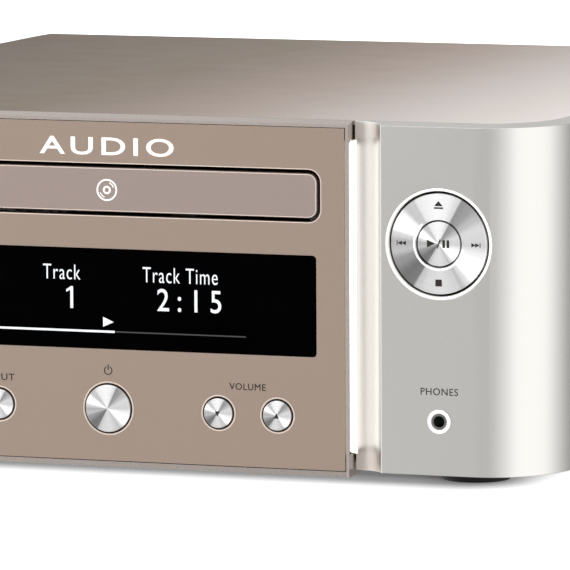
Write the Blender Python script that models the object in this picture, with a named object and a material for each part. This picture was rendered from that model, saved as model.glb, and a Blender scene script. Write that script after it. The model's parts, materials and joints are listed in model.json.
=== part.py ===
"""Compact CD receiver: case, curved wings, controls, disc drive, electronics and rear sockets."""

import math

import bmesh
import bpy
import numpy as np

MM = 0.001
GAP = 0.3

# Case, in millimetres: X right, Y back, Z up, D is the distance behind the front face
FRONT_Y = -150.5
HALF_WIDTH = 138.5
CASE_DEPTH = 287.0
REAR_TIP_Y = 151.5
TOP_Z = 111.0
RIM_Z = 110.1
RIM_WIDTH = 5.2
PLATE_INSET = 5.5
PLATE_UNDER_Z = 109.6
WING_BOTTOM_Z = 7.0
WING_FACE_D = 0.4
WALL = 1.8
CORNER_X = 115.5
CORNER_DEPTH = 32.0
COVE_X = 76.9
COVE_D = 4.9
WING_EDGE_X = 86.2
WING_TAIL_D = 36.0

# Centre panel
FRAME_HALF = 76.4
LIP_HALF = 75.5
PANEL_HALF = 75.2
PANEL_LOW_Z = 7.1
PANEL_TOP_Z = 109.0
PANEL_THICK = 3.0
FRAME_LOW_Z = 5.3
FRAME_DEPTH = 12.0
LIGHT_LOW_Z = 11.9
LIGHT_TOP_Z = 105.3
TRAY_GROOVE = (67.7, 80.9, 96.5, 3.8)
DOOR = (66.6, 82.0, 95.4, 2.8)
WINDOW = (66.15, 40.9, 70.8, 1.0)

# Controls
BUTTON_Z = 22.9
BUTTONS = {
    "power_button": (0.0, 7.1),
    "input_button": (-35.2, 4.45),
    "dimmer_button": (-53.9, 4.45),
    "volume_down_button": (35.2, 4.45),
    "volume_up_button": (53.9, 4.45),
}
BUTTON_PROUD = 1.0
DIAL_X = 104.4
DIAL_Z = 75.7
BEZEL_R = 16.7
DIAL_HOLE_R = 15.5
RING_R = 14.9
RING_BORE_R = 7.1
DISC_R = 6.6
SOCKET_X = 104.5
SOCKET_Z = 23.1
BOARD_D = 14.0

# Disc drive
DISC_Y = -80.0
TRAY_HALF = 64.0
TRAY_LOW_Z = 85.5
TRAY_TOP_Z = 92.0
TRAY_BACK_Y = 6.0
LOADER_LOW_Z = 72.0
LOADER_FLOOR_Z = 74.0
LOADER_TOP_Z = 97.0
LOADER_BACK_Y = 17.0
RACK_X = -56.0
DRIVE_GEAR = (-44.0, -130.0)
DRIVE_TEETH = 16
STEP_TEETH = 32
PINION_TEETH = 12
MODULE = 1.5
FINE_MODULE = 0.8
MOTOR = (6.0, -124.0)
SLED_RACK_X = 24.0
SLED_GEAR_Y = -25.0
SLED_TEETH = 15

# Feet
FOOT_X = 100.7
FOOT_YS = (-104.5, 100.0)
FOOT_NAMES = ("foot_front_left", "foot_front_right", "foot_rear_left", "foot_rear_right")
STANDOFFS = ((-126, 28), (-12, 28), (-126, 126), (-12, 126), (8, 28), (126, 28), (8, 126), (126, 126))
ANTENNA = (112.0, 84.0)
REAR_HOLES = (
    ((-118.3, -89.7), (19.7, 44.3)),
    ((-70.3, -9.7), (17.7, 50.3)),
    ((9.7, 70.3), (55.7, 88.3)),
    ((79.7, 98.3), (19.7, 37.3)),
)
PULLEY = (DRIVE_GEAR[0] + (STEP_TEETH + PINION_TEETH) * FINE_MODULE / 2, DRIVE_GEAR[1])
SLED_GEAR = (SLED_RACK_X + SLED_TEETH * FINE_MODULE / 2, SLED_GEAR_Y)
MAIN_CHIPS = (
    ((30, 56), (50, 76), 18.0),
    ((80, 96), (60, 76), 17.4),
    ((14, 22), (96, 112), 22.0),
    ((100, 124), (96, 116), 26.0),
)
POWER_CANS = (
    (12.0, (-110, 50), 52.0),
    (12.0, (-82, 50), 52.0),
    (8.0, (-56, 48), 38.0),
    (6.0, (-34, 60), 32.0),
)
TERMINALS = {
    "terminal_cap_1": (-58.0, 42.0),
    "terminal_cap_2": (-40.0, 42.0),
    "terminal_cap_3": (-58.0, 26.0),
    "terminal_cap_4": (-40.0, 26.0),
}


def clear_scene():
    for obj in list(bpy.data.objects):
        bpy.data.objects.remove(obj)


def solid(name, points, faces):
    mesh = bpy.data.meshes.new(name)
    mesh.from_pydata([tuple(c * MM for c in p) for p in points], [], faces)
    work = bmesh.new()
    work.from_mesh(mesh)
    bmesh.ops.recalc_face_normals(work, faces=work.faces)
    work.to_mesh(mesh)
    work.free()
    obj = bpy.data.objects.new(name, mesh)
    bpy.context.scene.collection.objects.link(obj)
    return obj


def on_axis(axis, u, v, along):
    return {"X": (along, u, v), "Y": (u, along, v), "Z": (u, v, along)}[axis]


def prism(name, outline, axis, low, high):
    """The outline, in the two other axes, drawn out from low to high."""
    count = len(outline)
    points = [on_axis(axis, u, v, low) for u, v in outline]
    points += [on_axis(axis, u, v, high) for u, v in outline]
    faces = [tuple(range(count)), tuple(range(count, 2 * count))]
    for i in range(count):
        j = (i + 1) % count
        faces.append((i, j, j + count, i + count))
    return solid(name, points, faces)


def box(name, x, y, z):
    outline = [(x[0], y[0]), (x[1], y[0]), (x[1], y[1]), (x[0], y[1])]
    return prism(name, outline, "Z", z[0], z[1])


def rounded(half, low, high, radius, steps=6):
    """A rectangle with round corners, in X and Z."""
    corners = (
        (half - radius, high - radius, 0),
        (radius - half, high - radius, 90),
        (radius - half, low + radius, 180),
        (half - radius, low + radius, 270),
    )
    outline = []
    for u, v, start in corners:
        for k in range(steps + 1):
            angle = math.radians(start + 90 * k / steps)
            outline.append((u + radius * math.cos(angle), v + radius * math.sin(angle)))
    return outline


def lathe(name, profile, axis, centre, segments):
    """Turns the profile of (radius, place along the axis) round the axis through centre."""
    points = []
    rings = []
    for radius, along in profile:
        if radius == 0:
            rings.append([len(points)])
            points.append(on_axis(axis, centre[0], centre[1], along))
            continue
        rings.append(list(range(len(points), len(points) + segments)))
        for k in range(segments):
            angle = 2 * math.pi * k / segments
            u = centre[0] + radius * math.cos(angle)
            v = centre[1] + radius * math.sin(angle)
            points.append(on_axis(axis, u, v, along))
    faces = []
    pairs = list(zip(rings, rings[1:]))
    if len(rings[0]) > 1:
        pairs.append((rings[-1], rings[0]))
    for first, second in pairs:
        for k in range(segments):
            n = (k + 1) % segments
            if len(first) == 1:
                faces.append((first[0], second[n], second[k]))
            elif len(second) == 1:
                faces.append((first[k], first[n], second[0]))
            else:
                faces.append((first[k], first[n], second[n], second[k]))
    return solid(name, points, faces)


def disc(name, radius, axis, centre, low, high, segments=32):
    profile = [(0, low), (radius, low), (radius, high), (0, high)]
    return lathe(name, profile, axis, centre, segments)


def tube(name, outer, inner, axis, centre, low, high, segments=32):
    profile = [(inner, low), (outer, low), (outer, high), (inner, high)]
    return lathe(name, profile, axis, centre, segments)


def combine(obj, others, operation):
    """Joins the others to obj or cuts them from it, then removes them."""
    for other in others:
        modifier = obj.modifiers.new("combine", "BOOLEAN")
        modifier.operation = operation
        modifier.solver = "EXACT"
        modifier.object = other
    graph = bpy.context.evaluated_depsgraph_get()
    old = obj.data
    obj.data = bpy.data.meshes.new_from_object(obj.evaluated_get(graph))
    obj.modifiers.clear()
    bpy.data.meshes.remove(old)
    for other in others:
        bpy.data.objects.remove(other)
    return obj


def join(obj, *others):
    return combine(obj, others, "UNION")


def cut(obj, *others):
    return combine(obj, others, "DIFFERENCE")


def loft(name, sections):
    """A body through closed sections of equal length, with flat ends."""
    size = len(sections[0])
    points = [p for section in sections for p in section]
    faces = [tuple(range(size)), tuple(range(len(points) - size, len(points)))]
    for i in range(len(sections) - 1):
        for j in range(size):
            k = (j + 1) % size
            a = i * size
            b = a + size
            faces.append((a + j, a + k, b + k, b + j))
    return solid(name, points, faces)


# Wings


def wing_path():
    """Points (X, D) of the right wing's outer face, from the flute round to the side."""
    path = []
    for k in range(10):
        t = math.radians(84 * k / 9)
        x = COVE_X + (WING_EDGE_X - COVE_X) * math.sin(t) / math.sin(math.radians(84))
        rise = (1 - math.cos(t)) / (1 - math.cos(math.radians(84)))
        path.append((x, COVE_D - (COVE_D - WING_FACE_D - 0.15) * rise))
    path.append((WING_EDGE_X + 0.35, WING_FACE_D))
    for k in range(17):
        t = math.radians(90 * k / 16)
        x = CORNER_X + (HALF_WIDTH - CORNER_X) * math.sin(t)
        path.append((x, WING_FACE_D + CORNER_DEPTH * (1 - math.cos(t))))
    path.append((HALF_WIDTH, WING_TAIL_D))
    return path


def inward(path, i):
    """The unit normal into the case at point i."""
    before = np.array(path[max(i - 1, 0)])
    after = np.array(path[min(i + 1, len(path) - 1)])
    tangent = (after - before) / np.linalg.norm(after - before)
    return np.array([-tangent[1], tangent[0]])


def offset_path(path, distance):
    return [tuple(np.array(p) + distance * inward(path, i)) for i, p in enumerate(path)]


def rim_point(path, i, distance):
    """A point of the top rim: straight across the flute, then a fixed distance inside the face."""
    if path[i][0] <= CORNER_X:
        return (path[i][0], distance + WING_FACE_D)
    return tuple(np.array(path[i]) + distance * inward(path, i))


def wing(name, side):
    path = wing_path()
    inner = offset_path(path, WALL)
    sections = []
    for i, (x, d) in enumerate(path):
        share = 0.0
        if x <= CORNER_X:
            share = (d - WING_FACE_D) / RIM_WIDTH
        top = RIM_Z + (TOP_Z - RIM_Z) * share
        rim = rim_point(path, i, RIM_WIDTH)
        wall = inner[i]
        if x <= WING_EDGE_X:
            wall = (x, d + WALL)
        sections.append(
            [
                (side * x, FRONT_Y + d, WING_BOTTOM_Z),
                (side * x, FRONT_Y + d, top),
                (side * rim[0], FRONT_Y + rim[1], TOP_Z),
                (side * rim[0], FRONT_Y + rim[1], TOP_Z - 1.1),
                (side * wall[0], FRONT_Y + wall[1], TOP_Z - 2.4),
                (side * wall[0], FRONT_Y + wall[1], WING_BOTTOM_Z),
            ]
        )
    obj = loft(name, sections)
    face = FRONT_Y + WING_FACE_D
    hole = [(0, face - 1), (BEZEL_R + 0.6, face - 1), (BEZEL_R, face), (DIAL_HOLE_R, face + 0.75)]
    hole += [(DIAL_HOLE_R, face + 4), (0, face + 4)]
    return cut(obj, lathe("cutter", hole, "Y", (side * DIAL_X, DIAL_Z), 72))


def make_wings():
    right = wing("right_wing", 1)
    centre = (SOCKET_X, SOCKET_Z)
    cut(right, disc("cutter", 3.0, "Y", centre, FRONT_Y - 1, FRONT_Y + 5, 32))
    left = wing("left_wing", -1)
    x = (-SOCKET_X - 7.0, -SOCKET_X + 7.0)
    cut(left, box("cutter", x, (FRONT_Y - 1, FRONT_Y + 5), (SOCKET_Z - 3.1, SOCKET_Z + 3.1)))


# Case


def make_side_cover(name, side):
    front = FRONT_Y + WING_TAIL_D + GAP
    profile = [
        (HALF_WIDTH, WING_BOTTOM_Z),
        (HALF_WIDTH, RIM_Z),
        (HALF_WIDTH - RIM_WIDTH, TOP_Z),
        (HALF_WIDTH - RIM_WIDTH, TOP_Z - 1.1),
        (HALF_WIDTH - WALL, TOP_Z - 2.4),
        (HALF_WIDTH - WALL, WING_BOTTOM_Z),
    ]
    outline = [(side * x, z) for x, z in profile]
    return prism(name, outline, "Y", front, FRONT_Y + CASE_DEPTH)


def make_case():
    path = wing_path()
    edge = [rim_point(path, i, PLATE_INSET) for i in range(len(path)) if path[i][0] > CORNER_X]
    half = [(0.0, PLATE_INSET + WING_FACE_D), (CORNER_X, PLATE_INSET + WING_FACE_D)] + edge
    half.append((edge[-1][0], CASE_DEPTH))
    outline = [(x, FRONT_Y + d) for x, d in half]
    outline += [(-x, FRONT_Y + d) for x, d in reversed(half[1:])]
    prism("top_plate", outline, "Z", PLATE_UNDER_Z, TOP_Z)
    make_side_cover("left_side_cover", -1)
    make_side_cover("right_side_cover", 1)

    front = FRONT_Y + FRAME_DEPTH + 0.5
    back = FRONT_Y + CASE_DEPTH - 3.2
    half_floor = HALF_WIDTH - WALL - 0.5
    outline = [(118, front), (half_floor, FRONT_Y + 39), (half_floor, back)]
    outline += [(-x, y) for x, y in reversed(outline)]
    floor = prism("bottom_chassis", outline, "Z", WING_BOTTOM_Z + 0.3, WING_BOTTOM_Z + 1.5)
    low = WING_BOTTOM_Z + 1.2
    posts = [disc("post", 3.0, "Z", c, low, 13.7, 12) for c in STANDOFFS]
    join(floor, *posts)

    rear_y = (FRONT_Y + CASE_DEPTH - 2.6, FRONT_Y + CASE_DEPTH - 1.1)
    rear = box("rear_panel", (-half_floor, half_floor), rear_y, (WING_BOTTOM_Z + 1.9, 108.2))
    holes = [box("cutter", x, (130, 140), z) for x, z in REAR_HOLES]
    cut(rear, *holes)
    cut(rear, disc("cutter", 5.6, "Y", ANTENNA, 130, 140, 32))

    for number, (side, y) in enumerate((s, y) for y in FOOT_YS for s in (-1, 1)):
        profile = [(0, 0), (10.2, 0), (11.0, 0.8), (13.4, 6.2), (13.4, 7.0), (0, 7.0)]
        lathe(FOOT_NAMES[number], profile, "Z", (side * FOOT_X, y), 32)


# Centre panel


def make_centre():
    front = FRONT_Y
    back = FRONT_Y + FRAME_DEPTH
    frame = box("centre_frame", (-FRAME_HALF, -LIP_HALF), (front, back), (FRAME_LOW_Z, 109.6))
    other = box("side", (LIP_HALF, FRAME_HALF), (front, back), (FRAME_LOW_Z, 109.6))
    bar = [(front, PANEL_LOW_Z - 0.2), (front + 0.5, FRAME_LOW_Z), (back, FRAME_LOW_Z)]
    bar.append((back, PANEL_LOW_Z - 0.2))
    low = prism("low", bar, "X", -FRAME_HALF, FRAME_HALF)
    rim = FRONT_Y + WING_FACE_D + RIM_WIDTH
    bar = [(front, PANEL_TOP_Z + 0.2), (front, RIM_Z), (rim, TOP_Z), (rim, PANEL_TOP_Z + 0.2)]
    top = prism("top", bar, "X", -FRAME_HALF, FRAME_HALF)
    join(frame, other, low, top)
    slot_y = (front + 0.9, front + 4.6)
    slot_z = (LIGHT_LOW_Z, LIGHT_TOP_Z)
    cut(frame, box("cutter", (-80, -74), slot_y, slot_z), box("cutter", (74, 80), slot_y, slot_z))
    for name, side in (("left_light_guide", -1), ("right_light_guide", 1)):
        a = front + 1.15
        b = front + 4.3
        ends = (LIGHT_LOW_Z + 0.25, LIGHT_TOP_Z - 0.25)
        outline = [(a, ends[0] + 1.6), (b, ends[0]), (b, ends[1]), (a, ends[1] - 1.6)]
        xs = sorted((side * (LIP_HALF + 0.1), side * (FRAME_HALF - 0.05)))
        prism(name, outline, "X", xs[0], xs[1])

    size = (PANEL_LOW_Z, PANEL_TOP_Z)
    panel = box("centre_panel", (-PANEL_HALF, PANEL_HALF), (front, front + PANEL_THICK), size)
    half, low_z, high_z, radius = TRAY_GROOVE
    holes = [prism("cutter", rounded(half, low_z, high_z, radius), "Y", front - 1, front + 5)]
    half, low_z, high_z, radius = WINDOW
    outline = rounded(half + 0.2, low_z - 0.2, high_z + 0.2, radius + 0.2)
    holes.append(prism("cutter", outline, "Y", front - 1, front + 5))
    for x, radius in BUTTONS.values():
        holes.append(disc("cutter", radius + 0.4, "Y", (x, BUTTON_Z), front - 1, front + 5, 36))
    cut(panel, *holes)

    outline = rounded(half - 0.05, low_z + 0.05, high_z - 0.05, 1.0)
    prism("display_window", outline, "Y", front + 0.25, front + 2.4)
    module = box("display_module", (-64.5, 64.5), (front + 3.4, front + 8.6), (42.2, 69.6))
    back_box = box("can", (-60, 60), (front + 8, front + 12.6), (45, 67))
    join(module, back_box)


def make_button(name, centre, radius, face, flange_d, stem_end):
    """A round cap with a stop flange behind the panel and a stem that reaches its switch."""
    edge = 0.45
    profile = [
        (0, face),
        (radius - edge, face),
        (radius, face + edge),
        (radius, FRONT_Y + flange_d),
        (radius + 1.0, FRONT_Y + flange_d),
        (radius + 1.0, FRONT_Y + flange_d + 1.0),
        (2.2, FRONT_Y + flange_d + 1.0),
        (2.2, FRONT_Y + stem_end),
        (0, FRONT_Y + stem_end),
    ]
    return lathe(name, profile, "Y", centre, 44 if radius > 6 else 28)


def make_dial(side, ring_name, gimbal_name, disc_name):
    face = FRONT_Y + WING_FACE_D - 0.1
    centre = (side * DIAL_X, DIAL_Z)
    profile = [
        (RING_BORE_R + 0.25, face),
        (RING_R - 0.3, face),
        (RING_R, face + 0.3),
        (RING_R, face + 2.2),
        (RING_BORE_R, face + 2.2),
        (RING_BORE_R, face + 0.25),
    ]
    lathe(ring_name, profile, "Y", centre, 64)
    tube(gimbal_name, 13.0, 8.0, "Y", centre, face + 3.3, face + 4.8, 28)
    profile = [
        (0, face),
        (DISC_R - 0.25, face),
        (DISC_R, face + 0.25),
        (DISC_R, face + 6.0),
        (2.4, face + 6.0),
        (2.4, FRONT_Y + BOARD_D - 1.1),
        (0, FRONT_Y + BOARD_D - 1.1),
    ]
    lathe(disc_name, profile, "Y", centre, 40)


def make_controls():
    for name, (x, radius) in BUTTONS.items():
        centre = (x, BUTTON_Z)
        make_button(name, centre, radius, FRONT_Y - BUTTON_PROUD, 3.3, BOARD_D - 0.9)
    make_dial(1, "transport_ring", "transport_gimbal", "play_button")
    make_dial(-1, "cursor_ring", "cursor_gimbal", "enter_button")

    face = FRONT_Y + WING_FACE_D
    centre = (SOCKET_X, SOCKET_Z)
    profile = [
        (1.75, face - 0.35),
        (3.3, face - 0.35),
        (3.6, face - 0.3),
        (3.6, face - 0.08),
        (2.7, face - 0.08),
        (2.7, face + 3.6),
        (4.8, face + 3.6),
        (4.8, face + 12.6),
        (1.75, face + 12.6),
    ]
    lathe("headphone_jack", profile, "Y", centre, 24)
    x = (-SOCKET_X - 6.6, -SOCKET_X + 6.6)
    z = (SOCKET_Z - 2.75, SOCKET_Z + 2.75)
    shell = box("usb_port", x, (face + 0.1, face + 12.6), z)
    x = (x[0] + 0.5, x[1] - 0.5)
    cut(shell, box("cutter", x, (face - 1, face + 10.5), (z[0] + 0.5, z[1] - 0.5)))
    x = (x[0] + 0.6, x[1] - 0.6)
    join(shell, box("tongue", x, (face + 1.2, face + 11.5), (SOCKET_Z + 0.1, SOCKET_Z + 1.5)))

    front = FRONT_Y + BOARD_D
    outline = [(-120, 12), (120, 12), (120, 96), (78, 96), (78, 70), (-78, 70), (-78, 96), (-120, 96)]
    board = prism("front_board", outline, "Y", front, front + 1.6)
    switches = []
    for x in [value[0] for value in BUTTONS.values()] + [-DIAL_X, DIAL_X]:
        z = BUTTON_Z if abs(x) < 60 else DIAL_Z
        part = box("chip", (x - 3, x + 3), (front + 1.2, front + 4.2), (z - 3, z + 3))
        switches.append(part)
    join(board, *switches)


# Disc drive


def gear_outline(teeth, module, backlash, phase=0.0):
    """A spur gear in X and Y, with involute flanks taken at two radii."""
    pressure = math.radians(20)
    pitch = teeth * module / 2
    base = pitch * math.cos(pressure)
    half = (math.pi * module / 2 - backlash) / (2 * pitch)
    radii = (pitch, pitch + 0.85 * module)

    def half_angle(radius):
        here = math.acos(min(1.0, base / radius))
        return half + math.tan(pressure) - pressure - (math.tan(here) - here)

    root = pitch - 1.15 * module
    outline = []
    for k in range(teeth):
        middle = 2 * math.pi * k / teeth + phase
        flank = [(root, half_angle(base) + 0.02)] + [(r, half_angle(r)) for r in radii]
        for radius, angle in flank:
            outline.append((radius, middle - angle))
        for radius, angle in reversed(flank):
            outline.append((radius, middle + angle))
    return outline


def gear(name, teeth, module, centre, low, high, phase=0.0, backlash=0.3):
    points = [
        (centre[0] + r * math.cos(a), centre[1] + r * math.sin(a))
        for r, a in gear_outline(teeth, module, backlash, phase)
    ]
    return prism(name, points, "Z", low, high)


def rack(name, pitch_x, body_x, start, end, gap_y, module, z, backlash=0.3):
    """A rack along Y with teeth towards +X, with a gap between teeth at gap_y."""
    step = math.pi * module
    slope = math.tan(math.radians(20))
    tip = pitch_x + 0.85 * module
    root = pitch_x - 1.15 * module
    half = (step / 2 - backlash) / 2
    first = math.ceil((start - gap_y) / step) * step + gap_y + step / 2
    points = [(body_x, start), (root, start)]
    y = first
    while y + step / 2 < end:
        points.append((root, y - half - (pitch_x - root) * slope))
        points.append((tip, y - half + (tip - pitch_x) * slope))
        points.append((tip, y + half - (tip - pitch_x) * slope))
        points.append((root, y + half + (pitch_x - root) * slope))
        y += step
    points += [(root, end), (body_x, end)]
    return prism(name, points, "Z", z[0], z[1])


def make_tray():
    front = FRONT_Y
    half, low_z, high_z, radius = DOOR
    door = prism("tray_door", rounded(half, low_z, high_z, radius), "Y", front + 0.05, front + 3.2)
    work = bmesh.new()
    work.from_mesh(door.data)
    rim = [e for e in work.edges if all(v.co.y < (front + 0.1) * MM for v in e.verts)]
    bmesh.ops.bevel(work, geom=rim, offset=0.5 * MM, segments=2, profile=0.5, affect="EDGES")
    work.to_mesh(door.data)
    work.free()

    tray_y = (front + 3.5, TRAY_BACK_Y)
    z = (TRAY_LOW_Z, TRAY_TOP_Z)
    tray = box("disc_tray", (-TRAY_HALF, TRAY_HALF), tray_y, z)
    centre = (0, DISC_Y)
    wells = [disc("cutter", 60.6, "Z", centre, z[1] - 2.2, z[1] + 1, 56)]
    wells.append(disc("cutter", 40.8, "Z", centre, z[1] - 3.4, z[1] + 1, 40))
    wells.append(box("cutter", (-14.5, 14.5), (DISC_Y + 3, TRAY_BACK_Y + 1), (z[0] - 1, z[1] + 1)))
    wells.append(disc("cutter", 14.8, "Z", centre, z[0] - 1, z[1] + 1, 28))
    cut(tray, *wells)
    low = z[0] - 3.5
    start = DRIVE_GEAR[1] - 6
    teeth = rack("rack", RACK_X, -60.5, start, TRAY_BACK_Y - 0.4, DRIVE_GEAR[1], MODULE, (low, z[0] + 0.5))
    join(tray, teeth)


def make_loader():
    front = FRONT_Y + 4.6
    y = (front, LOADER_BACK_Y)
    floor_z = (LOADER_LOW_Z, LOADER_FLOOR_Z)
    chassis = box("loader_chassis", (-71.5, 71.5), y, floor_z)
    pieces = []
    for side in (-1, 1):
        xs = sorted((side * 69.7, side * 71.5))
        pieces.append(box("wall", xs, y, (LOADER_LOW_Z, LOADER_TOP_Z)))
        xs = sorted((side * 62.8, side * 70.0))
        pieces.append(box("rail", xs, y, (LOADER_LOW_Z + 0.5, TRAY_LOW_Z - GAP)))
        for leg_y in (-128, 9):
            xs = sorted((side * 63.5, side * 71.5))
            pieces.append(box("leg", xs, (leg_y - 4, leg_y + 4), (8.8, LOADER_LOW_Z + 0.5)))
    wall_y = (LOADER_BACK_Y - 2, LOADER_BACK_Y)
    pieces.append(box("rear", (-71.5, 71.5), wall_y, (LOADER_LOW_Z, 82.0)))
    pieces.append(disc("pin", 1.6, "Z", DRIVE_GEAR, LOADER_FLOOR_Z - 0.5, 85.1, 20))
    pieces.append(disc("pin", 1.6, "Z", PULLEY, LOADER_FLOOR_Z - 0.5, 80.4, 20))
    pieces.append(disc("pin", 1.6, "Z", SLED_GEAR, LOADER_FLOOR_Z - 0.5, 82.6, 20))
    for y0 in (-66.5, 10.5):
        for x in (-19, 19):
            part = box("holder", (x - 3, x + 3), (y0 - 2, y0 + 2), (LOADER_FLOOR_Z - 0.5, 76.6))
            pieces.append(part)
    join(chassis, *pieces)
    cut(chassis, disc("cutter", 2.2, "Z", MOTOR, LOADER_LOW_Z - 1, LOADER_FLOOR_Z + 1, 24))

    bridge = box("clamp_bridge", (-71.5, 71.5), (DISC_Y - 13, DISC_Y + 13), (97.3, 98.9))
    cut(bridge, disc("cutter", 8.4, "Z", (0, DISC_Y), 96, 100, 40))
    profile = [(0, 93.0), (14.0, 93.0), (14.0, 94.8), (7.6, 95.4), (7.6, 99.5), (10.6, 99.5)]
    profile += [(10.6, 100.8), (0, 100.8)]
    lathe("clamp_puck", profile, "Z", (0, DISC_Y), 28)


def belt_outline(first, first_r, second, second_r):
    """The loop round two circles, with its outer tangents."""
    step = np.array(second) - np.array(first)
    heading = math.atan2(step[1], step[0])
    lean = math.acos((first_r - second_r) / np.linalg.norm(step))
    outline = []
    for k in range(17):
        angle = heading + lean + (2 * math.pi - 2 * lean) * k / 16
        outline.append((first[0] + first_r * math.cos(angle), first[1] + first_r * math.sin(angle)))
    for k in range(13):
        angle = heading - lean + 2 * lean * k / 12
        outline.append(
            (second[0] + second_r * math.cos(angle), second[1] + second_r * math.sin(angle))
        )
    return outline


def make_drive():
    drive = gear("tray_drive_gear", DRIVE_TEETH, MODULE, DRIVE_GEAR, 80.2, 85.1)
    big = gear("big", STEP_TEETH, FINE_MODULE, DRIVE_GEAR, 77.4, 80.0)
    hub = disc("hub", 6.0, "Z", DRIVE_GEAR, 74.4, 80.8, 24)
    join(drive, big, hub)
    cut(drive, disc("cutter", 2.0, "Z", DRIVE_GEAR, 70, 90, 24))

    half_tooth = math.pi / PINION_TEETH
    pulley = gear("pulley_gear", PINION_TEETH, FINE_MODULE, PULLEY, 77.2, 80.0, half_tooth)
    profile = [(0, 74.4), (11, 74.4), (11, 74.9), (9.6, 75.3), (9.6, 76.3), (11, 76.7)]
    profile += [(11, 77.1), (3.2, 77.1), (3.2, 77.5), (0, 77.5)]
    join(pulley, lathe("wheel", profile, "Z", PULLEY, 32))
    cut(pulley, disc("cutter", 2.0, "Z", PULLEY, 70, 90, 24))

    profile = [(1.2, 74.5), (4.2, 74.5), (4.2, 74.9), (3.0, 75.3), (3.0, 76.3), (4.2, 76.7)]
    profile += [(4.2, 77.1), (1.2, 77.1)]
    lathe("motor_pulley", profile, "Z", MOTOR, 16)
    profile = [(0, 52), (8.5, 52), (8.5, 71.2), (2.0, 71.2), (2.0, 71.6), (0.9, 71.6)]
    profile += [(0.9, 77.0), (0, 77.0)]
    lathe("loading_motor", profile, "Z", MOTOR, 24)

    outer = belt_outline(PULLEY, 10.7, MOTOR, 4.1)
    inner = belt_outline(PULLEY, 9.9, MOTOR, 3.3)
    belt = prism("drive_belt", outer, "Z", 75.4, 76.2)
    cut(belt, prism("cutter", inner, "Z", 74, 78))

    profile = [(0, 74.3), (12.5, 74.3), (12.5, 84.2), (2.0, 84.2), (2.0, 84.9), (0, 84.9)]
    lathe("spindle_motor", profile, "Z", (0, DISC_Y), 28)
    profile = [(0, 85.3), (11.5, 85.3), (11.5, 89.1), (7.3, 89.3), (7.0, 91.3), (6.2, 92.1)]
    profile += [(0, 92.1)]
    lathe("turntable", profile, "Z", (0, DISC_Y), 28)

    sled = box("laser_pickup", (-22, 22), (-63, -45), (76.9, 82.6))
    teeth = rack("rack", SLED_RACK_X, 21.0, -63, -20, SLED_GEAR_Y, FINE_MODULE, (78.9, 81.6))
    join(sled, teeth, disc("lens", 4.2, "Z", (0, -54), 82, 87.2, 28))
    rods = [disc("cutter", 1.85, "Y", (x, 79.0), -70, -40, 20) for x in (-18.9, 18.9)]
    cut(sled, *rods)
    for name, x in (("guide_rod_left", -18.9), ("guide_rod_right", 18.9)):
        disc(name, 1.5, "Y", (x, 79.0), -69, 13, 20)
    gear_z = (78.7, 81.8)
    phase = math.pi if SLED_TEETH % 2 else 0.0
    sled_gear = gear("sled_gear", SLED_TEETH, FINE_MODULE, SLED_GEAR, gear_z[0], gear_z[1], phase)
    join(sled_gear, disc("hub", 3.6, "Z", SLED_GEAR, 74.4, 82.2, 20))
    cut(sled_gear, disc("cutter", 2.0, "Z", SLED_GEAR, 70, 90, 20))


# Electronics and rear sockets


def make_electronics():
    board_z = (14.0, 15.6)
    main = box("main_board", (2, 132), (22, 132), board_z)
    chips = [box("chip", x, y, (15.2, z)) for x, y, z in MAIN_CHIPS]
    join(main, *chips)
    power = box("power_board", (-132, -6), (22, 132), board_z)
    chips = [disc("can", r, "Z", c, 15.2, z, 20) for r, c, z in POWER_CANS]
    join(power, *chips)
    frame = box("transformer", (-128, -82), (-112, -58), (8.8, 58))
    join(frame, box("coil", (-120, -90), (-120, -50), (16, 51)))
    heatsink = box("heatsink", (84, 128), (-102, 0), (8.8, 13))
    fins = []
    for k in range(8):
        x = 84 + k * 6.0
        fins.append(box("fin", (x, x + 2.0), (-102, 0), (12, 66)))
    join(heatsink, *fins)


def make_rear():
    inlet = box("ac_inlet", (-118, -90), (110, 137.4), (20, 44))
    cut(inlet, box("cutter", (-114.5, -93.5), (122, 140), (25, 39)))
    pins = [box("pin", (x - 1, x + 1), (121, 133), (30, 34)) for x in (-109, -99)]
    join(inlet, *pins)

    block = box("speaker_terminals", (-70, -10), (128, 138.2), (18, 50))
    posts = [disc("post", 2.0, "Y", c, 137.8, 149.5, 12) for c in TERMINALS.values()]
    join(block, *posts)
    for name, centre in TERMINALS.items():
        profile = [(2.4, 138.6), (5.4, 138.6), (6.4, 139.4), (6.4, 144.0), (5.6, 144.6)]
        profile += [(5.6, REAR_TIP_Y - 0.6), (5.0, REAR_TIP_Y), (2.4, REAR_TIP_Y)]
        lathe(name, profile, "Y", centre, 16)

    jacks = box("audio_jacks", (10, 70), (112, 138.0), (56, 88))
    barrels = []
    for x in (20, 40, 60):
        for z in (64, 80):
            barrels.append(disc("barrel", 4.2, "Y", (x, z), 137.6, 146.5, 14))
    join(jacks, *barrels)
    bores = []
    for x in (20, 40, 60):
        for z in (64, 80):
            bores.append(disc("cutter", 1.7, "Y", (x, z), 139, 150, 12))
    cut(jacks, *bores)

    network = box("network_jack", (80, 98), (112, 137.4), (20, 37))
    cut(network, box("cutter", (83, 95), (123, 140), (22, 31)))
    barrel = [(0, 128.0), (5.3, 128.0), (5.3, 137.2), (4.6, 137.2), (4.6, 147.0), (1.2, 147.0)]
    barrel += [(1.2, 135.0), (0, 135.0)]
    lathe("antenna_jack", barrel, "Y", ANTENNA, 20)


clear_scene()
make_wings()
make_case()
make_centre()
make_controls()
make_tray()
make_loader()
make_drive()
make_electronics()
make_rear()
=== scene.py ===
"""Looks for the compact CD receiver: studio, camera, materials, printed marks, display and trim."""

import json
import math

import bpy
from mathutils import Matrix, Vector


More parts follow.
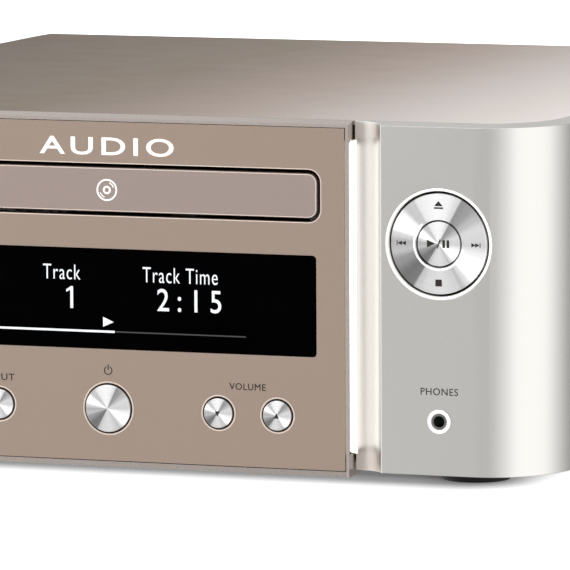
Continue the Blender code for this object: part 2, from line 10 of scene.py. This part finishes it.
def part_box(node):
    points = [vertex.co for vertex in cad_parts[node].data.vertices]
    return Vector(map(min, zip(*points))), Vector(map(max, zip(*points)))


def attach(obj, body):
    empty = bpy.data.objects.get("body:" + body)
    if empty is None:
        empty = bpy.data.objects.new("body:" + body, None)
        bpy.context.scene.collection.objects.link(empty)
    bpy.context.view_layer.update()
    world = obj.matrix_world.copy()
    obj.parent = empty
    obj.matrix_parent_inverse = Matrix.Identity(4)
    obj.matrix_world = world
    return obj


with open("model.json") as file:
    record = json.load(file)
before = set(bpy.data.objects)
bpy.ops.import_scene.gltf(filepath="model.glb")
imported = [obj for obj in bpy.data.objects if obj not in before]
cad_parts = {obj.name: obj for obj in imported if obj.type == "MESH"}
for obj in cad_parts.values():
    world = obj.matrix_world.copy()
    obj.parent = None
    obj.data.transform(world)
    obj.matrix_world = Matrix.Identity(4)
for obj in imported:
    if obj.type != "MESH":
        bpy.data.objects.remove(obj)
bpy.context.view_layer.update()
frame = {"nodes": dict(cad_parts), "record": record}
nodes = frame["nodes"]
scene = bpy.context.scene

FRONT_Y = -0.1505
WING_Y = FRONT_Y + 0.0004
DIAL_X = 0.1044
DIAL_Z = 0.0757
BUTTON_Z = 0.0229
BUTTON_Y = FRONT_Y - 0.001
POWER_R = 0.0071
SMALL_R = 0.00445
BUTTON_RADII = {
    "power_button": POWER_R, "input_button": SMALL_R, "dimmer_button": SMALL_R,
    "volume_down_button": SMALL_R, "volume_up_button": SMALL_R,
}
SOCKET_X = 0.1045
SOCKET_Z = 0.0231
PLATE = 0.00008
PRINT_LIFT = 0.00004
PRINT_Y = FRONT_Y - PRINT_LIFT
WING_PRINT_Y = WING_Y - PRINT_LIFT
BUTTON_MARK_Y = BUTTON_Y - PRINT_LIFT
DIAL_Y = WING_Y - 0.0001 - PRINT_LIFT
DISPLAY_Y = FRONT_Y + 0.00022
TRAY_OPENING = (0.0677, 0.0809, 0.0965, 0.0038)
TRAY_DOOR = (0.0666, 0.0820, 0.0954, 0.0028)
BADGE_Z = 0.0886
LIT_LOW_Z = 0.0119
LIT_TOP_Z = 0.1053
SHARP_ANGLE = math.radians(28)
# Axis and turn of each spun part, which also place its painted highlight fan.
SPUN_PAINTED_FAN_AXES = {
    "power_button": (0.0, BUTTON_Z, 4),
    "input_button": (-0.0352, BUTTON_Z, 0),
    "dimmer_button": (-0.0539, BUTTON_Z, 0),
    "volume_down_button": (0.0352, BUTTON_Z, 0),
    "volume_up_button": (0.0539, BUTTON_Z, -4),
    "transport_ring": (DIAL_X, DIAL_Z, 0),
    "play_button": (DIAL_X, DIAL_Z, 0),
    "cursor_ring": (-DIAL_X, DIAL_Z, 0),
    "enter_button": (-DIAL_X, DIAL_Z, 0),
}


# Materials


class Nodes:
    """A short way to build a node tree."""

    def __init__(self, tree):
        self.tree = tree

    def add(self, kind, inputs=(), **settings):
        node = self.tree.nodes.new(kind)
        for key, value in settings.items():
            setattr(node, key, value)
        for key, value in dict(inputs).items():
            if isinstance(value, bpy.types.NodeSocket):
                self.tree.links.new(value, node.inputs[key])
            else:
                node.inputs[key].default_value = value
        return node

    def math(self, operation, a, b=0.0, c=0.0):
        return self.add("ShaderNodeMath", {0: a, 1: b, 2: c}, operation=operation).outputs[0]

    def ramp(self, factor, stops, interpolation="LINEAR"):
        node = self.add("ShaderNodeValToRGB", {0: factor})
        node.color_ramp.interpolation = interpolation
        points = node.color_ramp.elements
        while len(points) < len(stops):
            points.new(0.5)
        for point, (place, colour) in zip(points, stops):
            point.position = place
            if isinstance(colour, (int, float)):
                colour = (colour, colour, colour)
            point.color = (*colour, 1.0)
        return node.outputs[0]


def new_material(name):
    material = bpy.data.materials.new(name)
    material.use_nodes = True
    n = Nodes(material.node_tree)
    shader = material.node_tree.nodes["Principled BSDF"]
    return material, n, shader


def surface(name, colour, metallic=0.0, roughness=0.5, grain=0.02, scale=900.0, bump=0.0,
            specular=0.5, stretch=(1, 1, 1), edge=0.0, coat=0.0):
    """A finish with fine grain in its colour and roughness, and optionally its relief."""
    material, n, shader = new_material(name)
    place = n.add("ShaderNodeTexCoord").outputs["Object"]
    place = n.add("ShaderNodeMapping", {"Vector": place, "Scale": stretch}).outputs[0]
    noise = n.add("ShaderNodeTexNoise", {"Vector": place, "Scale": scale, "Detail": 3.0})
    value = noise.outputs["Fac"]
    low = [max(0.0, c * (1 - grain)) for c in colour]
    high = [min(1.0, c * (1 + grain)) for c in colour]
    tint = n.ramp(value, [(0.3, low), (0.7, high)])
    n.tree.links.new(tint, shader.inputs["Base Color"])
    spread = n.math("MULTIPLY_ADD", value, 0.12, max(0.0, roughness - 0.06))
    n.tree.links.new(spread, shader.inputs["Roughness"])
    shader.inputs["Metallic"].default_value = metallic
    shader.inputs["Specular IOR Level"].default_value = specular
    shader.inputs["Coat Weight"].default_value = coat
    shader.inputs["Coat Roughness"].default_value = 0.08
    normal = None
    if edge:
        normal = n.add("ShaderNodeBevel", {"Radius": edge}, samples=6).outputs[0]
    if bump:
        inputs = {"Height": value, "Strength": bump, "Distance": 0.0001}
        if normal:
            inputs["Normal"] = normal
        normal = n.add("ShaderNodeBump", inputs).outputs[0]
    if normal:
        n.tree.links.new(normal, shader.inputs["Normal"])
    return material


def glow(name, colour, strength):
    """A lit surface with a faint dot structure."""
    material, n, shader = new_material(name)
    place = n.add("ShaderNodeTexCoord").outputs["Object"]
    noise = n.add("ShaderNodeTexNoise", {"Vector": place, "Scale": 2500.0}).outputs["Fac"]
    low = [c * 0.94 for c in colour]
    tint = n.ramp(noise, [(0.35, low), (0.65, colour)])
    n.tree.links.new(tint, shader.inputs["Emission Color"])
    shader.inputs["Base Color"].default_value = (*[c * 0.3 for c in colour], 1.0)
    shader.inputs["Emission Strength"].default_value = strength
    return material


# Painted highlight: brightness by angle in degrees round the axis, painted into the colour.
PAINTED_FAN_SWEEP = [
    (0, 0.52), (22, 0.56), (34, 0.40), (48, 0.26), (61, 0.22), (63, 0.55), (78, 0.72), (92, 0.76),
    (108, 0.72), (119, 0.66), (122, 0.48), (134, 0.46), (143, 0.80), (152, 1.0), (160, 0.96),
    (168, 0.55), (178, 0.36), (190, 0.42), (202, 0.24), (222, 0.13), (237, 0.15), (240, 0.44),
    (255, 0.55), (275, 0.58), (296, 0.50), (300, 0.40), (308, 0.58), (318, 0.98), (334, 1.0),
    (346, 0.72), (360, 0.52),
]


def turned_metal_painted_fan(name, x, z, turn):
    """Metal turned about an axis along Y, over fine grooves: the fan of light from the centre is a
    painted highlight in the colour.
    """
    material, n, shader = new_material("spun_painted_fan_" + name)
    place = n.add("ShaderNodeTexCoord").outputs["Object"]
    parts = n.add("ShaderNodeSeparateXYZ", {0: place})
    dx = n.math("SUBTRACT", parts.outputs[0], x)
    dz = n.math("SUBTRACT", parts.outputs[2], z)
    angle = n.math("ARCTAN2", dz, dx)
    share = n.math("ADD", n.math("DIVIDE", angle, 2 * math.pi), 1.0 - turn / 360)
    share = n.math("FRACT", share)
    radius = n.math("SQRT", n.math("ADD", n.math("MULTIPLY", dx, dx), n.math("MULTIPLY", dz, dz)))
    # Painted highlight: bright and dark sectors round the axis, in the base colour.
    painted_fan = n.ramp(share, [(a / 360, v) for a, v in PAINTED_FAN_SWEEP], "EASE")
    turns = n.add("ShaderNodeCombineXYZ", {0: n.math("MULTIPLY", radius, 5200.0), 1: share})
    groove = n.add("ShaderNodeTexNoise", {"Vector": turns.outputs[0], "Scale": 1.0, "Detail": 2.0})
    value = n.math("MULTIPLY_ADD", groove.outputs["Fac"], 0.26, 0.87)
    mixed = n.add("ShaderNodeMix", data_type="RGBA", blend_type="MULTIPLY")
    mixed.inputs["Factor"].default_value = 1.0
    n.tree.links.new(painted_fan, mixed.inputs[6])
    n.tree.links.new(value, mixed.inputs[7])
    n.tree.links.new(mixed.outputs[2], shader.inputs["Base Color"])
    shader.inputs["Metallic"].default_value = 0.3
    shader.inputs["Roughness"].default_value = 0.34
    bump = n.add("ShaderNodeBump", {"Height": groove.outputs["Fac"], "Strength": 0.08,
                                    "Distance": 0.00005})
    n.tree.links.new(bump.outputs[0], shader.inputs["Normal"])
    return material


def lid_with_painted_reflection():
    """The polished lid: champagne on the left, paling to silver on the right, a painted reflection
    in the colour.
    """
    material, n, shader = new_material("lid_painted_reflection")
    place = n.add("ShaderNodeTexCoord").outputs["Object"]
    parts = n.add("ShaderNodeSeparateXYZ", {0: place})
    share = n.math("MULTIPLY_ADD", parts.outputs[0], 1 / 0.28, 0.5)
    stops = [
        (0.0, (0.10, 0.072, 0.05)), (0.38, (0.165, 0.126, 0.09)), (0.50, (0.232, 0.178, 0.146)),
        (0.60, (0.302, 0.238, 0.203)), (0.69, (0.378, 0.325, 0.292)), (0.76, (0.455, 0.40, 0.378)),
        (0.83, (0.52, 0.472, 0.449)), (0.90, (0.59, 0.54, 0.503)), (0.97, (0.66, 0.61, 0.597)),
    ]
    # Painted reflection: the colour pales from champagne on the left to silver on the right.
    tint = n.ramp(share, stops)
    n.tree.links.new(tint, shader.inputs["Base Color"])
    noise = n.add("ShaderNodeTexNoise", {"Vector": place, "Scale": 60.0}).outputs["Fac"]
    rough = n.math("MULTIPLY_ADD", noise, 0.08, 0.3)
    n.tree.links.new(rough, shader.inputs["Roughness"])
    shader.inputs["Specular IOR Level"].default_value = 0.04
    return material


brushed = (1, 1, 14)
finish = {
    "wing_aluminium": surface("wing_silver", (0.77, 0.755, 0.725), 1.0, 0.3, 0.015, 500.0,
                              0.02, stretch=brushed, edge=0.00025),
    "frame_aluminium": surface("frame_metal", (0.67, 0.585, 0.54), 1.0, 0.28, 0.02, 700.0),
    "champagne": surface("champagne_satin", (0.435, 0.338, 0.278), 0.85, 0.42, 0.015, 1500.0, 0.03,
                         edge=0.0002),
    "door_champagne": surface("door_satin", (0.455, 0.365, 0.332), 0.85, 0.36, 0.012, 1500.0, 0.02,
                              edge=0.0003),
    "top_gloss": lid_with_painted_reflection(),
    "case_steel": surface("painted_steel", (0.36, 0.34, 0.32), 0.3, 0.48, 0.05, 2600.0, 0.12),
    "chassis_steel": surface("zinc_steel", (0.5, 0.5, 0.5), 1.0, 0.42, 0.12, 90.0, 0.02),
    "black_glass": surface("black_glass", (0.0006, 0.0006, 0.0008), 0.0, 0.1, 0.3, 30.0,
                           specular=0.0),
    "light_guide": glow("lit_strip", (1.0, 0.99, 0.965), 1.2),
    "button_metal": surface("button_metal", (0.7, 0.7, 0.69), 1.0, 0.3),
    "black_plastic": surface("black_plastic", (0.018, 0.018, 0.019), 0.0, 0.5, 0.2, 1800.0, 0.1),
    "grey_plastic": surface("grey_plastic", (0.14, 0.14, 0.145), 0.0, 0.5, 0.1, 1400.0, 0.1),
    "white_plastic": surface("white_plastic", (0.78, 0.77, 0.73), 0.0, 0.4, 0.04, 800.0, 0.04),
    "board": surface("circuit_board", (0.015, 0.11, 0.045), 0.0, 0.35, 0.35, 260.0, 0.1),
    "steel": surface("steel", (0.6, 0.6, 0.6), 1.0, 0.3, 0.06, 300.0, stretch=(12, 1, 1)),
    "copper_coil": surface("copper", (0.6, 0.3, 0.14), 1.0, 0.35, 0.2, 700.0, 0.2),
    "dark_aluminium": surface("black_anodised", (0.03, 0.03, 0.032), 0.6, 0.42, 0.1, 900.0, 0.06),
    "gold": surface("gold_plate", (0.85, 0.62, 0.25), 1.0, 0.22, 0.05, 500.0, edge=0.0002),
    "rubber": surface("rubber", (0.008, 0.008, 0.008), 0.0, 0.6, 0.3, 2200.0, 0.2, specular=0.3),
}


def smooth_group():
    """A modifier tree that shades curved faces smooth and keeps the sharper edges sharp."""
    tree = bpy.data.node_groups.new("smooth_curves", "GeometryNodeTree")
    tree.interface.new_socket("Geometry", in_out="INPUT", socket_type="NodeSocketGeometry")
    tree.interface.new_socket("Geometry", in_out="OUTPUT", socket_type="NodeSocketGeometry")
    n = Nodes(tree)
    start = n.add("NodeGroupInput").outputs[0]
    angle = n.add("GeometryNodeInputMeshEdgeAngle").outputs[0]
    sharp = n.math("GREATER_THAN", angle, SHARP_ANGLE)
    whole = n.add("GeometryNodeMergeByDistance", {"Geometry": start, "Distance": 0.000001})
    normals = n.add("GeometryNodeSetMeshNormal", {
        "Mesh": whole.outputs[0], "Remove Custom": True, "Edge Sharpness": sharp,
        "Face Sharpness": False}, mode="SHARPNESS")
    n.add("NodeGroupOutput", {0: normals.outputs[0]})
    return tree


smooth = smooth_group()
slot_of = {part["node"]: part["material_slot"] for part in frame["record"]["subparts"]}
for name, node in nodes.items():
    material = finish[slot_of[name]]
    if name in SPUN_PAINTED_FAN_AXES:
        material = turned_metal_painted_fan(name, *SPUN_PAINTED_FAN_AXES[name])
    node.data.materials.clear()
    node.data.materials.append(material)
    node.modifiers.new("smooth_curves", "NODES").node_group = smooth
    even = node.modifiers.new("flat_faces_stay_flat", "WEIGHTED_NORMAL")
    even.keep_sharp = True
    even.weight = 100

# Pale plates painted as highlights where polished edges catch the light.
painted_highlight_white = surface("polished_edge_painted_highlight", (0.9, 0.89, 0.87), 0.15, 0.25, 0.01, 900.0)
painted_highlight_pale = surface("champagne_edge_painted_highlight", (0.66, 0.56, 0.49), 0.2, 0.35, 0.01, 900.0)
socket_metal = surface("socket_metal", (0.2, 0.195, 0.185), 0.8, 0.3, 0.1, 1500.0)
groove_black = surface("groove_black", (0.006, 0.005, 0.004), 0.0, 0.5, 0.2, 900.0, specular=0.1)
# Painted light: a glowing strip for the lit cove between frame and wing, which is no lamp.
painted_gap_glow = glow("painted_gap_glow", (0.95, 0.955, 0.93), 0.95)
ink_dark = surface("dark_ink", (0.022, 0.018, 0.016), 0.0, 0.55, 0.2, 3000.0, specular=0.2)
ink_light = surface("light_ink", (0.86, 0.84, 0.80), 0.0, 0.5, 0.03, 3000.0, specular=0.2)
lit_text = glow("lit_text", (0.80, 0.83, 0.86), 0.9)
dim_text = glow("dim_text", (0.045, 0.047, 0.05), 0.6)
screw_metal = surface("screw_metal", (0.16, 0.155, 0.15), 0.9, 0.32, 0.1, 800.0)


# Shapes


def mesh_piece(name, points, faces, material, body="case"):
    mesh = bpy.data.meshes.new(name)
    mesh.from_pydata([tuple(p) for p in points], [], faces)
    mesh.materials.append(material)
    obj = bpy.data.objects.new(name, mesh)
    scene.collection.objects.link(obj)
    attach(obj, body)
    return obj


def flat_shapes(name, outlines, y, material, body="case", depth=PLATE):
    """Thin printed or cut shapes facing the front, from outlines in X and Z."""
    points = []
    faces = []
    for outline in outlines:
        start = len(points)
        count = len(outline)
        area = sum(outline[i][0] * outline[(i + 1) % count][1]
                   - outline[(i + 1) % count][0] * outline[i][1] for i in range(count))
        if area < 0:
            outline = list(reversed(outline))
        points += [(x, y, z) for x, z in outline]
        points += [(x, y + depth, z) for x, z in outline]
        faces.append(tuple(start + i for i in range(count)))
        faces.append(tuple(start + count + i for i in reversed(range(count))))
        for i in range(count):
            j = (i + 1) % count
            faces.append((start + j, start + i, start + count + i, start + count + j))
    return mesh_piece(name, points, faces, material, body)


def ring_shape(x, z, outer, inner, start=0.0, end=360.0, steps=48):
    """Quads that follow a ring or an arc."""
    shapes = []
    for k in range(steps):
        a = math.radians(start + (end - start) * k / steps)
        b = math.radians(start + (end - start) * (k + 1) / steps)
        shapes.append([
            (x + inner * math.cos(a), z + inner * math.sin(a)),
            (x + outer * math.cos(a), z + outer * math.sin(a)),
            (x + outer * math.cos(b), z + outer * math.sin(b)),
            (x + inner * math.cos(b), z + inner * math.sin(b)),
        ])
    return shapes


def rectangle(x0, x1, z0, z1):
    return [(x0, z0), (x1, z0), (x1, z1), (x0, z1)]


def text(name, words, box, y, material, weight=0.0, spacing=1.0, body="case"):
    """Plain letters that fill the box (low x, high x, low z, high z) on the front."""
    curve = bpy.data.curves.new(name, "FONT")
    curve.body = words
    curve.offset = weight
    curve.space_character = spacing
    curve.extrude = 0.02
    curve.resolution_u = 4
    letters = bpy.data.objects.new(name, curve)
    scene.collection.objects.link(letters)
    graph = bpy.context.evaluated_depsgraph_get()
    mesh = bpy.data.meshes.new_from_object(letters.evaluated_get(graph))
    bpy.data.objects.remove(letters)
    xs = [v.co.x for v in mesh.vertices]
    ys = [v.co.y for v in mesh.vertices]
    wide = (box[1] - box[0]) / (max(xs) - min(xs))
    high = (box[3] - box[2]) / (max(ys) - min(ys))
    for v in mesh.vertices:
        x = box[0] + (v.co.x - min(xs)) * wide
        z = box[2] + (v.co.y - min(ys)) * high
        v.co = Vector((x, y - v.co.z * 0.002, z))
    mesh.materials.clear()
    mesh.materials.append(material)
    obj = bpy.data.objects.new(name, mesh)
    scene.collection.objects.link(obj)
    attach(obj, body)
    return obj


# Painted highlights on polished edges


def slot_loop(half, low, high, radius, grow, steps=8):
    """A rounded rectangle, moved outward by grow."""
    half, low, high, radius = half + grow, low - grow, high + grow, radius + grow
    corners = ((half - radius, high - radius), (radius - half, high - radius),
               (radius - half, low + radius), (half - radius, low + radius))
    return [(x + radius * math.cos(math.pi / 2 * (k + i / steps)),
             z + radius * math.sin(math.pi / 2 * (k + i / steps)))
            for k, (x, z) in enumerate(corners) for i in range(steps + 1)]


def band(inner, outer):
    count = len(inner)
    return [[inner[i], outer[i], outer[(i + 1) % count], inner[(i + 1) % count]]
            for i in range(count)]


# Thin pale plates round the tray, buttons, dials and headphone socket: painted highlights for light
# on their polished edges.
flat_shapes("tray_opening_edge",
            band(slot_loop(*TRAY_OPENING, 0.00005), slot_loop(*TRAY_OPENING, 0.0003)),
            PRINT_Y, painted_highlight_pale)
flat_shapes("tray_door_edge",
            band(slot_loop(*TRAY_DOOR, -0.0005), slot_loop(*TRAY_DOOR, -0.0003)),
            FRONT_Y - 0.00001, painted_highlight_pale, "tray")
for name, radius in BUTTON_RADII.items():
    low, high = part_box(name)
    x = (low[0] + high[0]) / 2
    flat_shapes(name + "_gap", ring_shape(x, BUTTON_Z, radius + 0.0005, radius + 0.00015),
                PRINT_Y, groove_black)
    flat_shapes(name + "_edge", ring_shape(x, BUTTON_Z, radius + 0.0010, radius + 0.00065),
                PRINT_Y, painted_highlight_pale)
for side, ring, name in ((1, "transport_ring", "transport"), (-1, "cursor_ring", "cursor")):
    x = side * DIAL_X
    flat_shapes(name + "_bezel_painted_highlight", ring_shape(x, DIAL_Z, 0.0165, 0.0157, steps=72), WING_PRINT_Y,
                painted_highlight_white)
    flat_shapes(name + "_bore_edge", ring_shape(x, DIAL_Z, 0.0079, 0.0073, 130, 350),
                WING_Y - 0.00013, painted_highlight_white, ring)
socket_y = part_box("headphone_jack")[0][1] - 0.00003
flat_shapes("phones_rim_painted_highlight", ring_shape(SOCKET_X, SOCKET_Z, 0.0036, 0.0025), socket_y, painted_highlight_white)
flat_shapes("phones_contact", ring_shape(SOCKET_X, SOCKET_Z, 0.0024, 0.00178), socket_y,
            socket_metal)
# Painted light: glowing strips in the gaps between the frame and the wings.
for side in (-1, 1):
    edges = sorted((side * 0.07645, side * 0.0774))
    flat_shapes("painted_gap_glow" + ("_left" if side < 0 else "_right"),
                [rectangle(*edges, LIT_LOW_Z, LIT_TOP_Z)], FRONT_Y + 0.0046, painted_gap_glow,
                depth=0.0001)


# Printed marks

text("maker_word", "AUDIO", (-0.0215, 0.0215, 0.0990, 0.1044), PRINT_Y, ink_light, 0.012, 1.25)
text("volume_word", "VOLUME", (0.0387, 0.0502, 0.0301, 0.0321), PRINT_Y, ink_dark, 0.0, 1.1)
text("input_word", "INPUT", (-0.0401, -0.0303, 0.0301, 0.0321), PRINT_Y, ink_dark, 0.0, 1.1)
text("dimmer_word", "DIMMER", (-0.0598, -0.0480, 0.0301, 0.0321), PRINT_Y, ink_dark, 0.0, 1.1)
text("phones_word", "PHONES", (0.0987, 0.1103, 0.0309, 0.0330), WING_PRINT_Y, ink_dark, 0.0, 1.1)
text("usb_word", "USB", (-0.1078, -0.1012, 0.0309, 0.0330), WING_PRINT_Y, ink_dark, 0.0, 1.1)

power = ring_shape(0.0, 0.0343, 0.00135, 0.00105, 120, 420, 32)
power.append(rectangle(-0.00016, 0.00016, 0.0345, 0.0361))
flat_shapes("power_mark", power, PRINT_Y, ink_dark)

DOOR_Y = FRONT_Y + 0.00001
badge = ring_shape(0.0, BADGE_Z, 0.0033, 0.0028) + ring_shape(0.0, BADGE_Z, 0.00125, 0.0007)
badge += ring_shape(0.0, BADGE_Z, 0.0024, 0.0021, 20, 70, 10)
badge += ring_shape(0.0, BADGE_Z, 0.0024, 0.0021, 200, 250, 10)
flat_shapes("disc_mark", badge, DOOR_Y, ink_light, "tray")

x = 0.0352
shape = [[(x - 0.0008, 0.0235), (x + 0.0008, 0.0235), (x, 0.0219)]]
flat_shapes("volume_down_mark", shape, BUTTON_MARK_Y, ink_dark, "volume_down_button")
x = 0.0539
shape = [[(x - 0.0008, 0.0221), (x + 0.0008, 0.0221), (x, 0.0237)]]
flat_shapes("volume_up_mark", shape, BUTTON_MARK_Y, ink_dark, "volume_up_button")


def triangle(x, z, size, way):
    return [(x - way * size / 2, z - size / 2), (x - way * size / 2, z + size / 2),
            (x + way * size / 2, z)]


def dial_marks():
    r = 0.0114
    x, z = DIAL_X, DIAL_Z
    top = z + r
    marks = [[(x - 0.0013, top - 0.0002), (x + 0.0013, top - 0.0002), (x, top + 0.0013)]]
    marks.append(rectangle(x - 0.0014, x + 0.0014, top - 0.0010, top - 0.00055))
    marks.append(rectangle(x - 0.001, x + 0.001, z - r - 0.0011, z - r + 0.0009))
    for side in (-1, 1):
        cx = x + side * r
        marks.append(triangle(cx - 0.0006, z, 0.0013, side))
        marks.append(triangle(cx + 0.0006, z, 0.0013, side))
        bar = cx + side * 0.00145
        marks.append(rectangle(bar - 0.00012, bar + 0.00012, z - 0.0007, z + 0.0007))
    flat_shapes("transport_marks", marks, DIAL_Y, ink_dark, "transport_ring")
    marks = [[(x - 0.0036, z - 0.0011), (x - 0.0036, z + 0.0012), (x - 0.0011, z + 0.0001)]]
    marks.append([(x - 0.0006, z - 0.0013), (x - 0.0002, z - 0.0013), (x + 0.0007, z + 0.0014),
                  (x + 0.0003, z + 0.0014)])
    for bar in (0.0016, 0.0029):
        marks.append(rectangle(x + bar - 0.0004, x + bar + 0.0004, z - 0.0011, z + 0.0012))
    flat_shapes("play_marks", marks, DIAL_Y, ink_dark, "play_button")
    x = -DIAL_X
    marks = []
    for angle in (0, 90, 180, 270):
        a = math.radians(angle)
        c = (x + r * math.cos(a), z + r * math.sin(a))
        out = (math.cos(a) * 0.0009, math.sin(a) * 0.0009)
        wide = (-math.sin(a) * 0.0011, math.cos(a) * 0.0011)
        marks.append([(c[0] - out[0] + wide[0], c[1] - out[1] + wide[1]),
                      (c[0] - out[0] - wide[0], c[1] - out[1] - wide[1]),
                      (c[0] + out[0], c[1] + out[1])])
    flat_shapes("cursor_marks", marks, DIAL_Y, ink_dark, "cursor_ring")
    text("enter_word", "ENTER", (x - 0.0034, x + 0.0034, z - 0.0007, z + 0.0009), DIAL_Y + 0.00002,
         ink_dark, 0.0, 1.05, "enter_button")


dial_marks()


# Display

text("track_word", "Track", (-0.0208, -0.0088, 0.0613, 0.0658), DISPLAY_Y, lit_text, -0.004, 1.12)
digit = [(-0.0121, 0.0527), (-0.0112, 0.0527), (-0.0112, 0.0593), (-0.0119, 0.0593),
         (-0.0134, 0.0583), (-0.0134, 0.0575), (-0.0121, 0.0582)]
flat_shapes("track_digit", [digit], DISPLAY_Y, lit_text)
text("time_words", "Track Time", (0.0112, 0.0351, 0.0612, 0.0658), DISPLAY_Y, lit_text, -0.004,
     1.12)
text("time_digits", "2:15", (0.0158, 0.0362, 0.0527, 0.0595), DISPLAY_Y, lit_text, 0.004, 1.5)
bars = [rectangle(-0.0439, 0.0021, 0.04565, 0.0463), [(-0.0016, 0.0474), (0.0018, 0.0489),
                                                      (-0.0016, 0.0504)]]
flat_shapes("progress_done", bars, DISPLAY_Y, lit_text)
flat_shapes("progress_left", [rectangle(0.0023, 0.0439, 0.0458, 0.0462)], DISPLAY_Y, dim_text)


# Screws at the back


def screw_heads(name, places, y, radius, material):
    """Low domed heads that face the back, each a ring of facets round a cap."""
    rows = ((1.0, 0.0), (0.94, 0.45), (0.72, 0.8), (0.4, 0.97))
    sides = 20
    points = []
    faces = []
    for x, z in places:
        start = len(points)
        for share, lift in rows:
            for k in range(sides):
                a = 2 * math.pi * k / sides
                points.append((x + share * radius * math.cos(a), y + lift * radius * 0.42,
                               z + share * radius * math.sin(a)))
        for row in range(len(rows) - 1):
            for k in range(sides):
                a = start + row * sides + k
                b = start + row * sides + (k + 1) % sides
                faces.append((b, a, a + sides, b + sides))
        last = start + (len(rows) - 1) * sides
        faces.append(tuple(last + k for k in reversed(range(sides))))
        faces.append(tuple(start + k for k in range(sides)))
    return mesh_piece(name, points, faces, material)


rear_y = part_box("rear_panel")[1][1]
places = [(x, z) for x in (-0.129, 0.129) for z in (0.014, 0.1015)]
places += [(x, 0.1045) for x in (-0.065, 0.0, 0.065)]
places += [(x, 0.0135) for x in (-0.0795, 0.0, 0.072)]
places += [(-0.0657, 0.0536), (-0.0143, 0.0536), (0.0143, 0.0522), (0.0657, 0.0522)]
screw_heads("rear_screws", places, rear_y - 0.0001, 0.0026, screw_metal)
arm, half = 0.0015, 0.00028
slots = []
for x, z in places:
    slots.append(rectangle(x - arm, x + arm, z - half, z + half))
    slots.append(rectangle(x - half, x + half, z - arm, z - half))
    slots.append(rectangle(x - half, x + half, z + half, z + arm))
flat_shapes("rear_screw_slots", slots, rear_y + 0.00094, groove_black)


# Studio


def studio():
    size = 6.0
    mesh = bpy.data.meshes.new("floor")
    corners = [(-size, -size, 0), (size, -size, 0), (size, size, 0), (-size, size, 0)]
    mesh.from_pydata(corners, [], [(0, 1, 2, 3)])
    pale = surface("pale_floor_painted_light", (0.93, 0.93, 0.93), 0.0, 0.6, 0.002, 40.0, specular=0.1)
    shader = pale.node_tree.nodes["Principled BSDF"]
    n = Nodes(pale.node_tree)
    # Painted light: the floor glow rises with distance from a rectangle inside the footprint, which
    # leaves a painted shadow under the box.
    place = n.add("ShaderNodeTexCoord").outputs["Object"]
    parts = n.add("ShaderNodeSeparateXYZ", {0: place})
    away = []
    for socket, half in ((parts.outputs[0], 0.098), (parts.outputs[1], 0.106)):
        away.append(n.math("MAXIMUM", n.math("SUBTRACT", n.math("ABSOLUTE", socket), half), 0.0))
    both = n.math("ADD", n.math("POWER", away[0], 2.0), n.math("POWER", away[1], 2.0))
    distance = n.math("MULTIPLY", n.math("SQRT", both), 20.0)
    lift = n.ramp(distance, [(0.0, 0.0), (0.2, 0.12), (0.6, 0.95)], "EASE")
    n.tree.links.new(lift, shader.inputs["Emission Color"])
    shader.inputs["Emission Strength"].default_value = 1.0
    mesh.materials.append(pale)
    floor = bpy.data.objects.new("floor", mesh)
    scene.collection.objects.link(floor)
    floor.visible_glossy = False

    world = bpy.data.worlds.new("studio")
    scene.world = world
    world.use_nodes = True
    n = Nodes(world.node_tree)
    place = n.add("ShaderNodeTexCoord").outputs["Generated"]
    parts = n.add("ShaderNodeSeparateXYZ", {0: place})
    turn = n.math("ARCTAN2", parts.outputs[0], n.math("MULTIPLY", parts.outputs[1], -1.0))
    share = n.math("MULTIPLY_ADD", turn, 1 / (2 * math.pi), 0.5)

    def at(degrees):
        return 0.5 + degrees / 360

    stops = [
        (0.0, 0.62), (at(-150), 0.62), (at(-120), 1.35), (at(-40), 1.45), (at(-31), 0.62),
        (at(14), 0.62), (at(42), 0.95), (at(60), 1.32), (at(104), 1.32), (at(120), 0.85),
        (at(138), 0.36), (at(158), 0.36), (1.0, 0.62),
    ]
    around = n.ramp(share, stops, "EASE")
    height = n.math("MULTIPLY_ADD", parts.outputs[2], 0.5, 0.5)
    below = n.ramp(height, [(0.05, 0.25), (0.26, 1.0)])
    light = n.add("ShaderNodeMix", data_type="RGBA", blend_type="MULTIPLY")
    light.inputs["Factor"].default_value = 1.0
    n.tree.links.new(around, light.inputs[6])
    n.tree.links.new(below, light.inputs[7])
    back = world.node_tree.nodes["Background"]
    n.tree.links.new(light.outputs[2], back.inputs["Color"])
    back.inputs["Strength"].default_value = 1.0


def soft_box(name, place, aim, size, watts):
    lamp = bpy.data.lights.new(name, "AREA")
    lamp.shape = "RECTANGLE"
    lamp.size, lamp.size_y = size
    lamp.energy = watts
    obj = bpy.data.objects.new(name, lamp)
    obj.location = place
    obj.rotation_euler = (Vector(aim) - Vector(place)).to_track_quat("-Z", "Y").to_euler()
    scene.collection.objects.link(obj)


def camera():
    yaw, down, roll = math.radians(20.03), math.radians(6.526), math.radians(-0.282)
    ahead = Vector((-math.sin(yaw) * math.cos(down), math.cos(yaw) * math.cos(down),
                    -math.sin(down)))
    right = ahead.cross(Vector((0, 0, 1))).normalized()
    up = right.cross(ahead)
    x = right * math.cos(roll) + up * math.sin(roll)
    y = up * math.cos(roll) - right * math.sin(roll)
    data = bpy.data.cameras.new("camera")
    data.sensor_width = 36.0
    data.lens = 6935 / 570 * 36.0
    data.clip_end = 50.0
    obj = bpy.data.objects.new("camera", data)
    matrix = Matrix((x, y, -ahead)).transposed().to_4x4()
    matrix.translation = Vector((0.7553, -2.0674, 0.2954))
    obj.matrix_world = matrix
    scene.collection.objects.link(obj)
    scene.camera = obj


studio()
soft_box("overhead", (0.0, -0.3, 1.6), (0, 0, 0), (2.4, 2.0), 12.0)
camera()
scene.view_settings.view_transform = "Standard"
